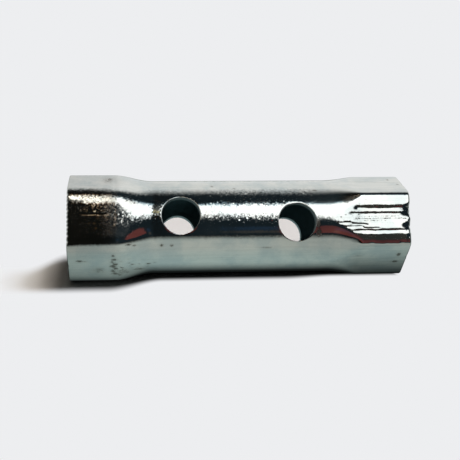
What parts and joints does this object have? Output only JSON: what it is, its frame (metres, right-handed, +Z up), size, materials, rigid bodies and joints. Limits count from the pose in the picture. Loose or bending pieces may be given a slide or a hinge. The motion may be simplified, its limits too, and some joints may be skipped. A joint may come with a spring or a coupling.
{
  "type": "tubular socket wrench",
  "caption": "Short steel tube wrench with a hexagon socket formed in each end, one larger than the other, and cross holes through both walls for a loose turning bar.",
  "frame": {"origin": "under the middle of the wrench, on the surface that it lies on", "axes": "+X along the wrench towards its small socket, +Z up from the flat of the large hexagon that it lies on, +Y away from the front, where the bar holes open"},
  "size_m": [0.0872, 0.0274, 0.0253],
  "materials": {
    "zinc_plate": "bright zinc plate on drawn steel tube, faintly blue"
  },
  "bodies": {
    "root": {"wrench_tube": "zinc_plate"}
  },
  "joints": []
}
